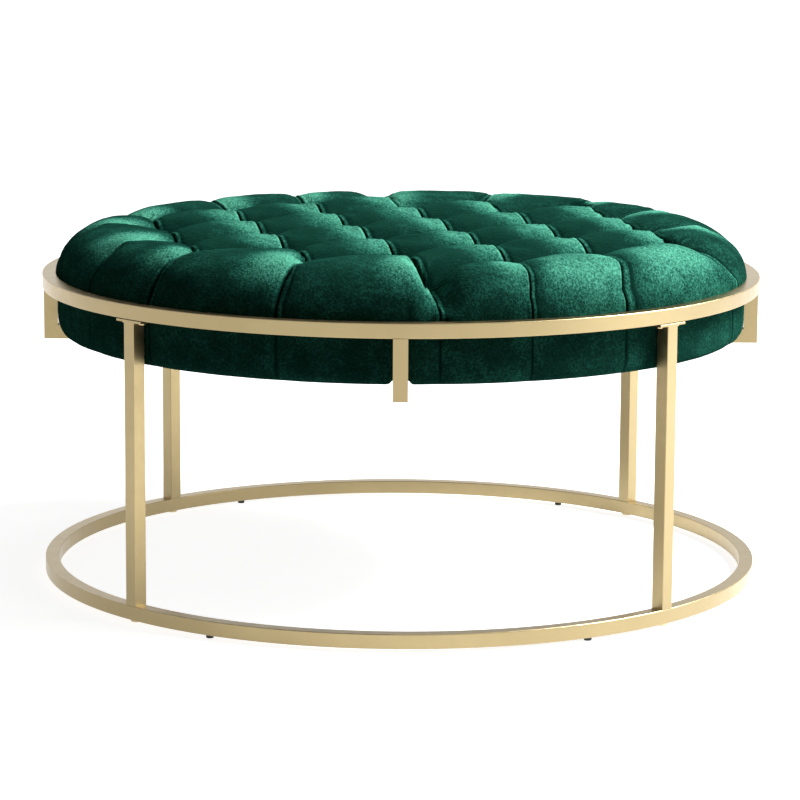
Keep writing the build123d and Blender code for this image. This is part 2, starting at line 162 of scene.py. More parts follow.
first = min(key for key in border if has_pleat(key))
border_runs = [[first]]
while True:
    following = border[border_runs[-1][-1]]
    border_runs[-1].append(following)
    if following == first:
        break
    if has_pleat(following):
        border_runs.append([following])
print(len(border_runs), "border pillows between pleats")

# %% [markdown]
# ## Shape of the tufted top
#
# A pillow's height over its pits is built up from two simple curves. One says how far the
# fold between two tufts has come up, from the pit at each end to a saddle in its middle. The
# other adds the round belly of the batting between the folds. A slit stays high, nearly level
# with its pillows, and the folds between rows sink into valleys. Creases are kept apart from
# this smooth shape, because the padding is swelled by a simulation first, and creases are
# sewn into the swollen shape afterwards.

# %% Heights of the tufting over the ring's top
PIT, VALLEY, SLIT, TOP, CROWN = 24.0, 44.0, 57.0, 61.0, 4.0
PIT_FLOOR = 23.6
FOLD_GAP = SHORT * LONG / (2 * STEP_J.length)
FOLD_ROUNDNESS, BELLY_ROUNDNESS = 2.6, 2.2


def come_up(share):
    """How far a fold has come up between two tufts, from 0 at a tuft to 1 in the middle."""
    return 1 - abs(2 * share - 1) ** FOLD_ROUNDNESS


def belly(share):
    """Round section of the batting across a pillow, 0 at its folds and 1 in the middle."""
    return 1 - abs(2 * share - 1) ** BELLY_ROUNDNESS


def bell(distance, width):
    """A smooth bump of height 1, this wide on each side."""
    return exp(-((distance / width) ** 2))


print("folds lie", round(FOLD_GAP, 1), "mm apart")

# %% [markdown]
# ## Creases
#
# Where two pillows meet, the cloth is tucked under itself: the left pillow ends in a round
# lip, then comes a narrow dark slit, and right of it lies the tucked strip, a little lower,
# with a second thin line. The folds between rows are plain soft valleys. A section like this
# could be drawn as an outline, but a sum of a few smooth bumps also fades well towards the
# tufts. Each bump is a height, a place to the right of the fold, and a width.

# %% Heights beside a fold
SLIT_DEPTH, VALLEY_DEPTH, FULL_DEPTH = 8, 5, 6
SLIT_WIDTH, VALLEY_WIDTH = 1.3, 2.2
LIP, STRIP, LINE = (1.0, -3.8, 2.4), (-0.8, 4, 4), (-1.2, 8.5, 1.1)
RIPPLES, RIPPLE_TURN = (0.35, -12, 6), 1.5


def mound(distance, height, place, width):
    """One smooth bump beside a fold."""
    return height * bell(distance - place, width)


def tucked_fold(distance, depth):
    """Relief of a tucked fold at a distance to its right: lip, slit, lower strip and line."""
    beside = mound(distance, *LIP) + mound(distance, *STRIP) + mound(distance, *LINE)
    beside += sin(RIPPLE_TURN * distance) * mound(distance, *RIPPLES)
    return -depth * bell(distance, SLIT_WIDTH) + beside * min(1.0, depth / FULL_DEPTH)


def soft_fold(distance, depth):
    """Relief of a fold between rows."""
    return -depth * bell(distance, VALLEY_WIDTH)


print("a lip stands", round(tucked_fold(LIP[1], SLIT_DEPTH), 1), "mm proud")

# %% [markdown]
# ## Painted light
#
# Velvet looks pale where its pile catches the light and dark where it lies in shade. Here that
# light and shade are painted into the dye: a number kept on each point of the cover says how
# pale it is, so that it belongs to the cushion and turns with it. Beside a fold the lip and
# the strip get a faint painted highlight, and the slit and the line get painted shade.

# %% Painted light beside a fold
# Painted highlight on the lip and strip, painted shade in the slit and the line beside it.
PAINTED_LIP_HIGHLIGHT, PAINTED_STRIP_HIGHLIGHT = (0.25, -4, 2.2), (0.5, 5, 3.2)
PAINTED_SLIT_SHADE, PAINTED_LINE_SHADE = (-1.5, 0, 1.4), (-0.9, 8.8, 1.1)


def fold_painted_light(distance):
    """Painted highlight on a fold's lip and strip, painted shade in its slit and line."""
    painted_highlight = mound(distance, *PAINTED_LIP_HIGHLIGHT) + mound(distance, *PAINTED_STRIP_HIGHLIGHT)
    return painted_highlight + mound(distance, *PAINTED_SLIT_SHADE) + mound(distance, *PAINTED_LINE_SHADE)


def smooth_rise(share, start, width):
    """Smooth change from 0 to 1 over a width from a start; it shapes the painted highlights."""
    share = max(0.0, min(1.0, (share - start) / width))
    return share * share * (3 - 2 * share)


print("nap in a slit:", round(fold_painted_light(PAINTED_SLIT_SHADE[1]), 2),
      "and on its strip:", round(fold_painted_light(PAINTED_STRIP_HIGHLIGHT[1]), 2))

# %% [markdown]
# ## Gathers
#
# Close to a tuft the cloth is gathered in small wrinkles that all point at it, most of all
# near the rim, where it is pulled hardest. Two waves run round each tuft. Their numbers of
# crests don't fit together, so the wrinkles show no pattern. Noise adds the faint puckers of
# the padding underneath.

# %% Wrinkles round the tufts, painted shade in the pits, and puckers
GATHER_REACH, GATHER_PLACE, GATHER_WIDTH, WIDTH_BY_PULL = 60, 16, 9, 5
PULL, RIM_PULL, RIM_REACH = 0.6, 0.9, 30
WRINKLES = ((1.0, 11, 1.7), (0.7, 17, 2.9))
PIT_WIDTH = 11
PUCKERS = ((0.9, 34), (0.35, 11))


def gathers(place):
    """Small wrinkles of cloth that point at the tufts, strongest close to them."""
    height = 0.0
    for n, centre in enumerate(tufts.values()):
        offset = place - centre
        reach = offset.length
        if reach < GATHER_REACH:
            pull = PULL + RIM_PULL * bell(CREST - centre.length, RIM_REACH)
            angle = atan2(offset.y, offset.x)
            waves = sum(size * sin(crests * angle + shift * n) for size, crests, shift in WRINKLES)
            height += pull * waves * bell(reach - GATHER_PLACE, GATHER_WIDTH + WIDTH_BY_PULL * pull)
    return height


def pit_shade(place):
    """1 in the pit of a tuft, where no light reaches, and 0 away from it."""
    return max(bell((place - centre).length, PIT_WIDTH) for centre in tufts.values())


def puckers(place):
    """Faint unevenness of the padding under the cloth."""
    return sum(height * noise.noise(place / size) for height, size in PUCKERS)


print("wrinkles round a tuft:", [crests for size, crests, shift in WRINKLES])

# %% [markdown]
# ## A pillow inside the border
#
# Every point of a pillow has two shares: how far along the slits it lies, and how far across
# them. From these come its place, the crease that is sewn in later, whether a fold holds the
# cloth there, and its painted light: a painted highlight at the right end of each pillow, on
# the side that faces the lamps, and painted shade in its pits and slits.

# %% A point of a pillow inside the border
ON_EDGE = 1e-6
HELD_BELOW = 0.45
HIGHLIGHT_RANGE, PAINTED_LIGHT_LOW, HIGHLIGHT_START, HIGHLIGHT_WIDTH, HIGHLIGHT_ROUNDNESS = 0.8, -0.05, 0.28, 0.6, 0.7
GATHER_PAINTED_LIGHT, PIT_PAINTED_SHADE = 0.12, 1.5


def pillow_painted_light(s, t, plan, gathered):
    """Painted light at a point of a pillow: highlight at its right end, shade in pits and slits."""
    painted_light = HIGHLIGHT_RANGE * smooth_rise(t, HIGHLIGHT_START, HIGHLIGHT_WIDTH) * belly(s) ** HIGHLIGHT_ROUNDNESS + PAINTED_LIGHT_LOW
    # Painted highlight on the wrinkles' crests, painted shade in the pits.
    painted_light += GATHER_PAINTED_LIGHT * gathered - PIT_PAINTED_SHADE * pit_shade(plan)
    return painted_light + (fold_painted_light(t * FOLD_GAP) + fold_painted_light((t - 1) * FOLD_GAP)) * come_up(s) ** 0.5


def pillow_point(corners, s, t):
    """Place on a pillow, its crease, 1 where a fold holds the cloth, and its painted light.

    s runs along the pillow's slits and t across them.
    """
    a, b, c, d = (tufts[key] for key in corners)
    plan = a + s * (b - a) + t * (d - a)
    slit_share, valley_share = (SLIT - PIT) / (TOP - PIT), (VALLEY - PIT) / (TOP - PIT)
    along_slit = come_up(s) * (slit_share + (1 - slit_share) * belly(t))
    along_valley = come_up(t) * (valley_share + (1 - valley_share) * belly(s))
    rise = 1 - (1 - along_slit) * (1 - along_valley)
    crown = CROWN * (1 - (plan.length / CREST) ** 2)
    height = PIT + (TOP - PIT + crown) * rise
    slit, valley = SLIT_DEPTH * come_up(s) ** 0.5, VALLEY_DEPTH * come_up(t) ** 0.5
    gathered = gathers(plan)
    crease = (
        tucked_fold(t * FOLD_GAP, slit)
        + tucked_fold((t - 1) * FOLD_GAP, slit)
        + soft_fold(s * FOLD_GAP, valley)
        + soft_fold((1 - s) * FOLD_GAP, valley)
        + gathered
        + puckers(plan.to_3d())
    )
    on_valley, on_slit = min(s, 1 - s) < ON_EDGE, min(t, 1 - t) < ON_EDGE
    held = float(on_valley or (on_slit and come_up(s) < HELD_BELOW))
    painted_light = pillow_painted_light(s, t, plan, gathered)
    return Vector((plan.x, plan.y, RING_TOP + height)), Vector((0, 0, crease)), held, painted_light


middle = pillow_point(pillow_tufts(*pillows[0]), 0.5, 0.5)[0]
print("first pillow's middle is", round(middle.z, 1), "mm up")

# %% [markdown]
# ## Shape of the border
#
# A border pillow starts at the folds of the pillows inside, swells up to a crest, and rolls
# over the rim down to the tucked hem. Every slice of it stands upright on a line from the
# table's centre. A slice is followed by how far along it a point is: over the top to the
# crest, round the rim, down the side, round the lower edge, and a little way underneath.

# %% Profile of one slice of the border
SWELLING = 0.75


def quarter(share):
    """Cosine and sine of a share of a quarter turn."""
    return cos(share * pi / 2), sin(share * pi / 2)


def border_slice(along, inner, inner_z, crest_z, side):
    """Radius and height at a place along a slice, whose five parts each take 1 of along."""
    if along <= 1:
        c, s = quarter(along)
        return CREST - (CREST - inner) * c, inner_z + (crest_z - inner_z) * s ** SWELLING
    if along <= 2:
        c, s = quarter(along - 1)
        return CREST + (side - CREST) * s, RING_TOP + (crest_z - RING_TOP) * c
    if along <= 3:
        return side, RING_TOP + (HEM + LOWER_EDGE - RING_TOP) * (along - 2)
    if along <= 4:
        c, s = quarter(along - 3)
        return side - LOWER_EDGE * (1 - c), HEM + LOWER_EDGE * (1 - s)
    return side - LOWER_EDGE - TURNED_IN * (along - 4), HEM


print("the hem is turned in by", LOWER_EDGE + TURNED_IN, "mm")

# %% [markdown]
# ## Pleats and the hem
#
# Between two border pillows runs a pleat, which pulls a notch into the rim. Four notches are
# deep, and the one in the front middle leaves its pit open, with a steep wall on its left.
# Some pleats lean over to follow the slits, and a few on the left and the right are faint,
# because the cloth is stretched almost smooth there. The lower edge sags a little between the
# beams that carry it. Each pleat is named by its tuft on the grid.

# %% How far each pleat leans round the table, in degrees, and how deep it notches the rim
LEAN = {(2, 3): -4.9, (3, 2): -12.4, (-1, 3): 4.2, (1, 4): 1.6}
LEAN.update({(3 - i, 2 - j): turn for (i, j), turn in LEAN.items()})
FAINT = {(-1, 3): 0.3, (-1, 2): 0.2, (4, -1): 0.3, (4, 0): 0.2}
OPEN_PIT = (1, 4)
DEEP = {OPEN_PIT: 37.0, (2, -2): 14.0, (4, 1): 12.0, (-1, 1): 12.0}
STEEP_WALL, OPEN_WALL, DEEP_WALL = 19, 36, 24
SHALLOW, SHALLOW_WALL = 2.5, 14


def lean(key):
    """Turn of a tuft's pleat between the tuft and the ring."""
    return radians(LEAN.get(key, 0.0))


def sharpness(key):
    """How clearly a pleat shows: the cloth is stretched almost smooth on two sides."""
    return FAINT.get(key, 1.0)


def notch(key, distance, is_left_wall):
    """How far a pleat pulls the crest down. The open pit's left wall stands steep."""
    if key == OPEN_PIT and is_left_wall:
        return DEEP[key] * bell(distance ** 2, STEEP_WALL ** 2)
    if key in DEEP:
        return DEEP[key] * bell(distance, OPEN_WALL if key == OPEN_PIT else DEEP_WALL)
    return SHALLOW * sharpness(key) * bell(distance, SHALLOW_WALL)


print("pleats that lean:", sum(key in LEAN for key in tufts))

# %% The hem between the beams
SAG, SAG_LENGTH = 5.0, 1.5
BEAM_HALF_WIDTH, SAG_EDGE = 10.5, 3


def hem_sag(angle, along):
    """How far the lower edge sags between the beams that carry it."""
    from_beam = SIDE * min(abs(cos(angle)), abs(sin(angle)))
    share = max(0.0, min((along - 2) / SAG_LENGTH, 1.0, 5 - along))
    return SAG * share * (1 - bell(max(0.0, from_beam - BEAM_HALF_WIDTH), SAG_EDGE))


print("the hem sags", round(hem_sag(pi / 4, 4), 1), "mm between two beams")

# %% Creases of a border pillow
PLEAT_DEPTH, PLEAT_PAINTED_LIGHT = 5, 0.55
SEAM_DEPTH, SEAM_WIDTH, SEAM_SHADE = 1.4, 1.6, 0.3
PARALLEL = 0.99


def slit_side(a, b):
    """1 where the border lies left of the slit from a to b, -1 right of it, 0 at no slit."""
    along_slit = (b - a).normalized().dot(STEP_J.normalized())
    return round(along_slit) if abs(along_slit) > PARALLEL else 0


def inner_fold(a, b, s, plan):
    """Relief of the fold that a border pillow shares with the pillows inside."""
    gap = abs((plan - a).cross((b - a).normalized()))
    if slit_side(a, b):
        return tucked_fold(-slit_side(a, b) * gap, SLIT_DEPTH * come_up(s) ** 0.5)
    return soft_fold(gap, VALLEY_DEPTH * come_up(s) ** 0.5)


def pleats(run, right_of, left_of, along):
    """Relief and painted light of the pleats at both ends, tucked over the rim and flat below it."""
    fade = min(1.0, along) ** 0.5 * max(0.0, min(1.0, 4 - along))
    start, end = fade * sharpness(run[0]), fade * sharpness(run[-1])
    if along < 2:
        relief = tucked_fold(right_of, PLEAT_DEPTH * start) + tucked_fold(-left_of, PLEAT_DEPTH * end)
        return relief, PLEAT_PAINTED_LIGHT * (fold_painted_light(right_of) * start + fold_painted_light(-left_of) * end)
    relief = -SEAM_DEPTH * (bell(right_of, SEAM_WIDTH) * start + bell(left_of, SEAM_WIDTH) * end)
    return relief, SEAM_SHADE * relief


print("edges on a slit:", sum(bool(slit_side(tufts[a], tufts[b])) for a, b in border.items()))

# %% Painted light on a border pillow
BORDER_PAINTED_LIGHT, BORDER_GATHER_PAINTED_LIGHT = 0.11, 0.15
LIT_SIDE, LIT_FROM, LIT_WIDTH = radians(-45), 0.84, 0.14
SHOULDER_HIGHLIGHT, SHOULDER_START, SHOULDER_WIDTH, SHOULDER_AT, SHOULDER_LENGTH = 0.7, 0.02, 0.3, 1.2, 0.6
RIGHT_END_HIGHLIGHT, END_START, END_WIDTH, END_AT, END_LENGTH = 0.95, 0.5, 0.35, 0.9, 0.52


def border_painted_light(share, along, angle, plan):
    """Painted light on a border pillow: highlights at right ends and front-right shoulder."""
    # Painted highlight on the side that faces the lamps, at the front right.
    faces_lit_side = smooth_rise(cos(angle - LIT_SIDE), LIT_FROM, LIT_WIDTH)
    shoulder_highlight = SHOULDER_HIGHLIGHT * smooth_rise(share, SHOULDER_START, SHOULDER_WIDTH) * faces_lit_side
    shoulder_highlight *= bell(along - SHOULDER_AT, SHOULDER_LENGTH)
    right_end_highlight = RIGHT_END_HIGHLIGHT * smooth_rise(share, END_START, END_WIDTH) * bell(along - END_AT, END_LENGTH)
    painted_light = BORDER_PAINTED_LIGHT + max(shoulder_highlight, right_end_highlight)
    # Painted highlight on the wrinkles' crests, painted shade in the pits.
    return painted_light + BORDER_GATHER_PAINTED_LIGHT * gathers(plan) - PIT_PAINTED_SHADE * pit_shade(plan)


print("palest side of the border:", round(LIT_SIDE / pi * 180), "degrees round the table")

# %% A point of a border pillow
CREST_BELLY, PLEAT_TUCK, TUCK_WIDTH = 1.0, 1.5, 16
LEAN_LENGTH, INNER_FOLD_LENGTH = 1.7, 1.2
HELD_FROM, HELD_PLEAT_LENGTH = 2.2, 0.3
FULL_TURN, ROUNDING = 2 * pi, 1e-9


def direction(point):
    """Direction of a point from the cushion's centre, as an angle."""
    return atan2(point.y, point.x)


def border_point(run, edge, s, along):
    """Place on a border pillow, its crease, 1 where the cloth is held, and its painted light.

    s runs along one of the pillow's inner edges, and along runs outwards.
    """
    a, b = tufts[run[edge]], tufts[run[edge + 1]]
    plan = a + s * (b - a)
    first_angle = direction(tufts[run[0]])
    span = (direction(tufts[run[-1]]) - first_angle) % FULL_TURN
    angle = (direction(plan) - first_angle + ROUNDING) % FULL_TURN
    share = min(1.0, angle / span)
    right_of, left_of = share * span * CREST, (1 - share) * span * CREST
    crest_z = RING_TOP + TOP + CREST_BELLY * belly(share)
    crest_z -= notch(run[0], right_of, False) + notch(run[-1], left_of, True)
    saddle = SLIT if slit_side(a, b) else VALLEY
    inner_z = RING_TOP + PIT + (saddle - PIT) * come_up(s)
    side = SIDE - PLEAT_TUCK * (bell(right_of, TUCK_WIDTH) + bell(left_of, TUCK_WIDTH))
    turn = (1 - share) * lean(run[0]) + share * lean(run[-1])
    angle += first_angle + turn * min(1.0, along / LEAN_LENGTH)
    radius, z = border_slice(along, plan.length, inner_z, crest_z, side)
    place = Vector((radius * cos(angle), radius * sin(angle), z))

    crease, shade = pleats(run, right_of, left_of, along)
    crease += puckers(place)
    if along < INNER_FOLD_LENGTH:
        crease += inner_fold(a, b, s, place.xy) + gathers(place.xy)
    tilt = max(0.0, min(1.0, along - 1)) * pi / 2
    outward = Vector((cos(angle) * sin(tilt), sin(angle) * sin(tilt), cos(tilt)))
    sewn = crease * outward - Vector((0, 0, hem_sag(angle, along)))
    on_pleat = min(share, 1 - share) < ON_EDGE and along < HELD_PLEAT_LENGTH
    held = float(along < ON_EDGE or along > HELD_FROM or on_pleat)
    return place, sewn, held, border_painted_light(share, along, angle, place.xy) + shade


on_crest = border_point(border_runs[0], 0, 0.5, 1.0)[0]
print("first border pillow's crest is", round(on_crest.z, 1), "mm up")

# %% [markdown]
# ## Sewing the cover
#
# Each pillow and each part of a border pillow is one square grid, and the points above bend
# it into shape. The grid's lines can be drawn towards the folds, because that is where the
# cloth turns sharply. At the end the doubled rows where two grids meet are merged, which
# sews the cover together. The same function makes an even, coarse cover for the simulation
# and a fine one for the finished cushion.

# %% Grids with their lines drawn towards the folds
ROW_STOPS = [(0.0, 0.0), (0.34, 1.0), (0.68, 2.0), (0.84, 3.0), (0.95, 4.0), (1.0, 5.0)]
DRAWN_TO_FOLD = 1.4


def drawn(share, pull):
    """Moves a share of an edge towards the edge's nearer end."""
    return share - pull * sin(2 * pi * share) / (2 * pi)


def spread(share):
    """How far along a slice a row is, with more rows over the top and round the rim."""
    for (low, start), (high, end) in zip(ROW_STOPS, ROW_STOPS[1:]):
        if share <= high + ROUNDING:
            part = (share - low) / (high - low)
            return start + (part ** DRAWN_TO_FOLD if start == 0.0 else part) * (end - start)


def add_patch(cover, columns, rows, pull, point):
    """Adds a square grid to the cover and bends it: point gives a place for two shares."""
    crease_layer = cover.verts.layers.float_vector["crease"]
    held_layer = cover.verts.layers.float["held"]
    # Painted highlights and painted shade, kept on each point of the cover.
    painted_light_layer = cover.verts.layers.float["painted_light"]
    made = bmesh.ops.create_grid(cover, x_segments=columns, y_segments=rows, size=0.5)
    for vert in made["verts"]:
        place, crease, held, painted_light = point(drawn(vert.co.x + 0.5, pull), vert.co.y + 0.5)
        vert.co = place * MM
        vert[crease_layer] = crease * MM
        vert[held_layer] = held
        vert[painted_light_layer] = painted_light


print("the middle row of a slice lies at", round(spread(0.5), 2), "of its five parts")

# %% The whole cover
SEWN_TOGETHER = 0.02 * MM


def sew_cover(name, columns, rows, pull):
    """A new object with the smooth cover, open underneath, and its creases kept beside it."""
    cover = bmesh.new()
    cover.verts.layers.float_vector.new("crease")
    cover.verts.layers.float.new("held")
    cover.verts.layers.float.new("painted_light")
    for pillow in pillows:
        corners = pillow_tufts(*pillow)
        add_patch(cover, columns, columns, pull,
                  lambda s, t: pillow_point(corners, s, drawn(t, pull)))
    for run in border_runs:
        for edge in range(len(run) - 1):
            add_patch(cover, columns, rows, pull,
                      lambda s, t: border_point(run, edge, s, spread(t)))
    bmesh.ops.remove_doubles(cover, verts=cover.verts, dist=SEWN_TOGETHER)
    bmesh.ops.recalc_face_normals(cover, faces=cover.faces)
    mesh = bpy.data.meshes.new(name)
    cover.to_mesh(mesh)
    cover.free()
    piece = bpy.data.objects.new(name, mesh)
    scene.collection.objects.link(piece)
    return piece


cushion = sew_cover("velvet_cushion", columns=40, rows=84, pull=0.86)
cushion_mesh = cushion.data
print("cover:", len(cushion_mesh.vertices), "vertices")

# %% [markdown]
# ## Swelling the padding
#
# Batting pushes the cloth out between the folds, and no formula does this as well as cloth
# itself. A coarse cover is held at its folds, pleats and hem, cut a little too large, and
# blown up for twenty frames with Blender's Cloth. No point may move further than a few
# millimetres. The fine cover is then laid onto the swollen one.

# %% Simulate the coarse cover
FRAMES, FURTHEST_MOVE, PRESSURE, SLACK = 20, 5.0, 4.0, 0.01


def swell(coarse):
    """Blows up a held cover and returns how far it moved at the most, in millimetres."""
    rest = [vert.co.copy() for vert in coarse.data.vertices]
    held = coarse.data.attributes["held"].data
    group = coarse.vertex_groups.new(name="held")
    group.add([n for n, value in enumerate(held) if value.value > 0.5], 1.0, "REPLACE")
    cloth = coarse.modifiers.new("cloth", "CLOTH")
    cloth.settings.vertex_group_mass = "held"
    cloth.settings.quality = 6
    cloth.settings.mass = 0.3
    cloth.settings.tension_stiffness = 15
    cloth.settings.compression_stiffness = 10
    cloth.settings.bending_stiffness = 0.4
    cloth.settings.shrink_min = -SLACK
    cloth.settings.use_pressure = True
    cloth.settings.uniform_pressure_force = PRESSURE
    cloth.settings.effector_weights.gravity = 0
    cloth.collision_settings.use_collision = False
    cloth.point_cache.frame_start = 1
    cloth.point_cache.frame_end = FRAMES
    for frame_number in range(1, FRAMES + 1):
        scene.frame_set(frame_number)
    swollen = coarse.evaluated_get(bpy.context.evaluated_depsgraph_get())
    moved = [vert.co - old for vert, old in zip(swollen.data.vertices, rest)]
    coarse.modifiers.remove(cloth)
    scene.frame_set(1)
    for vert, old, move in zip(coarse.data.vertices, rest, moved):
        vert.co = old + move * min(1.0, FURTHEST_MOVE * MM / max(move.length, ROUNDING))
    return max(move.length for move in moved) / MM


print("the padding may swell by", FURTHEST_MOVE, "mm")

# %% Lay the fine cover onto the swollen one
def finished_mesh(piece):
    """The piece's mesh with its modifiers applied, as a new mesh."""
    shaped = piece.evaluated_get(bpy.context.evaluated_depsgraph_get())
    return bpy.data.meshes.new_from_object(shaped)


padding = sew_cover("padding", columns=16, rows=34, pull=0.0)
print("padding:", len(padding.data.vertices), "vertices moved up to",
      round(swell(padding), 1), "mm")
smooth = padding.modifiers.new("smooth", "SUBSURF")
smooth.levels = smooth.render_levels = 2
padding.data = finished_mesh(padding)
padding.modifiers.clear()
lay = cushion.modifiers.new("lay", "SHRINKWRAP")
lay.target = padding
lay.wrap_method = "NEAREST_SURFACEPOINT"
cushion.data = finished_mesh(cushion)
cushion.modifiers.clear()
cushion_mesh = cushion.data
bpy.data.objects.remove(padding)

# %% Sew the creases in, and close the cushion underneath
cover = bmesh.new()
cover.from_mesh(cushion_mesh)
crease_layer = cover.verts.layers.float_vector["crease"]
for vert in cover.verts:
    vert.co += vert[crease_layer]
    if hypot(vert.co.x, vert.co.y) < CREST * MM and vert.co.z > RING_TOP * MM:
        vert.co.z = max(vert.co.z, (RING_TOP + PIT_FLOOR) * MM)
hem_edges = [edge for edge in cover.edges if edge.is_boundary]
print("edges left open for the underside:", len(hem_edges))
bmesh.ops.contextual_create(cover, geom=hem_edges)
bmesh.ops.recalc_face_normals(cover, faces=cover.faces)
for face in cover.faces:
    face.smooth = True
cover.to_mesh(cushion_mesh)
cover.free()
print("cushion:", len(cushion_mesh.vertices), "vertices")

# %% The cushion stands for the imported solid
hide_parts("tufted_cushion")
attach(cushion, "root")
print(cushion.name, "stands for tufted_cushion")

# %% [markdown]
# ## Finishes
#
# A finish is more than a colour. Each one here is a small graph of nodes on the object's own
# coordinates, so it stays in place from every side: noise for its clouds and its grain, a
# ramp that turns the noise into colour, and a fine relief. A picture of the material could
# do the same, but it would have to be laid on each piece and would blur close by.

# %% Small helpers for material graphs
def new_finish(name):
    """A new material, with its node tree and its Principled shader."""
    material = bpy.data.materials.new(name)
    material.use_nodes = True
    return material, material.node_tree, material.node_tree.nodes["Principled BSDF"]


def add_node(tree, kind, **values):
    """Adds a node, and sets its settings and sockets by name."""
    node = tree.nodes.new(kind)
    sockets = {socket.name.lower(): socket for socket in node.inputs}
    for key, value in values.items():
        if hasattr(node, key):
            setattr(node, key, value)
        else:
            sockets[key].default_value = value
    return node


def grey(level):
    """A grey colour."""
    return (level, level, level)


print("a middle grey:", grey(0.5))

# %% Noise, ramps, sums and relief
LOW_NOISE, HIGH_NOISE = 0.3, 0.7


def mottle(tree, scale, detail=4.0, roughness=0.6, stretch=(1, 1, 1)):
    """Noise on the piece's own coordinates, and returns its output."""
    place = add_node(tree, "ShaderNodeTexCoord")
    scaled = add_node(tree, "ShaderNodeMapping", scale=stretch)
    speckle = add_node(tree, "ShaderNodeTexNoise", scale=scale, detail=detail, roughness=roughness)
    tree.links.new(place.outputs["Object"], scaled.inputs["Vector"])
    tree.links.new(scaled.outputs["Vector"], speckle.inputs["Vector"])
    return speckle.outputs["Fac"]


def ramp(tree, source, stops):
    """Colours along a source from 0 to 1, and returns the output."""
    node = add_node(tree, "ShaderNodeValToRGB")
    elements = node.color_ramp.elements
    while len(elements) < len(stops):
        elements.new(0.5)
    for element, (position, colour) in zip(elements, stops):
        element.position = position
        element.color = (*colour, 1.0)
    tree.links.new(source, node.inputs["Fac"])
    return node.outputs["Color"]


def two_shades(tree, source, low, high):
    """One colour where a noise is low and another where it is high, and returns the output."""
    return ramp(tree, source, [(LOW_NOISE, low), (HIGH_NOISE, high)])


def weighted(tree, source, weight, base=None):
    """A source times a weight, plus a base, and returns the output."""
    node = add_node(tree, "ShaderNodeMath", operation="MULTIPLY_ADD")
    tree.links.new(source, node.inputs[0])
    node.inputs[1].default_value = weight
    if base is None:
        node.inputs[2].default_value = 0.0
    else:
        tree.links.new(base, node.inputs[2])
    return node.outputs[0]


def bump(tree, shader, height, strength, distance):
    """Fine relief on a shader from a height, and on top of any relief it already has."""
    node = add_node(tree, "ShaderNodeBump", strength=strength, distance=distance)
    if shader.inputs["Normal"].is_linked:
        tree.links.new(shader.inputs["Normal"].links[0].from_socket, node.inputs["Normal"])
    tree.links.new(height, node.inputs["Height"])
    tree.links.new(node.outputs["Normal"], shader.inputs["Normal"])


print("helpers for finishes: noise, ramp, weighted sum and relief")

# %% [markdown]
# ## Green velvet
#
# Velvet is a dark dye under short pile. Where the pile lies down it looks almost black, and
# where it stands up and catches the light it turns pale, in a fine, mottled speckle. A sheen
# alone would brighten every edge alike. So that light and shade are painted: a number kept
# on the cover, times the speckle, picks the dye's shade, with painted highlights at the
# pillows' right ends and painted shade in the slits and pits. The sheen only adds a little
# on top.

# %% Shade of the velvet, from its painted light and shade and its speckle
LYING_PILE, PILE_IN_LIGHT, PILE_ALWAYS = 0.58, 0.5, 0.12
PAINTED_LIGHT_IN_TONE, CLOUD_IN_SHADE = 0.56, 0.40
velvet, tree, shader = new_finish("green_velvet")
cloud = mottle(tree, scale=22, detail=5, roughness=0.65)
speckle = mottle(tree, scale=340, detail=3, roughness=0.8, stretch=(1, 0.45, 1))
pile = ramp(tree, speckle, [(0.36, grey(0.0)), (0.62, grey(1.0))])
# Painted light kept on the cover: high for painted highlights, low for painted shade.
painted_light_node = add_node(tree, "ShaderNodeAttribute", attribute_name="painted_light")
some_pile = add_node(tree, "ShaderNodeValue")
some_pile.outputs[0].default_value = LYING_PILE
lit = add_node(tree, "ShaderNodeMath", operation="MULTIPLY")
tree.links.new(painted_light_node.outputs["Fac"], lit.inputs[0])
tree.links.new(weighted(tree, pile, PILE_IN_LIGHT, some_pile.outputs[0]), lit.inputs[1])
shades = weighted(tree, pile, PILE_ALWAYS, weighted(tree, cloud, CLOUD_IN_SHADE))
tone = weighted(tree, lit.outputs[0], PAINTED_LIGHT_IN_TONE, shades)
print("green velvet:", len(tree.nodes), "nodes so far")

# %% Dye and surface of the velvet
# Dark stops give painted shade, pale stops painted highlights; the green between is the dye.
dye = ramp(tree, tone, [
    (0.10, (0.0004, 0.006, 0.004)),
    (0.32, (0.0024, 0.016, 0.011)),
    (0.46, (0.0090, 0.060, 0.042)),
    (0.85, (0.0700, 0.285, 0.192)),
])
tree.links.new(dye, shader.inputs["Base Color"])
shader.inputs["Roughness"].default_value = 0.85
shader.inputs["Specular IOR Level"].default_value = 0.0
shader.inputs["Sheen Weight"].default_value = 0.07
shader.inputs["Sheen Roughness"].default_value = 0.5
shader.inputs["Sheen Tint"].default_value = (0.12, 0.80, 0.54, 1.0)
bump(tree, shader, pile, strength=0.6, distance=0.0015)
bump(tree, shader, cloud, strength=0.4, distance=0.004)
cushion_mesh.materials.append(velvet)
print("green velvet:", len(tree.nodes), "nodes in all")

# %% [markdown]
# ## Satin gold
#
# The frame is steel tube with a thin plated layer, faintly clouded, under a clear lacquer.
# The metal gives a broad, soft reflection and the lacquer's coat a slightly sharper one over
# it. One colour and gloss alone would look like plastic. The same function makes the screws'
# brighter gold and the zinc of the hidden hardware.

# %% Plated metals
GLOSSIER, DULLER = 0.05, 0.06


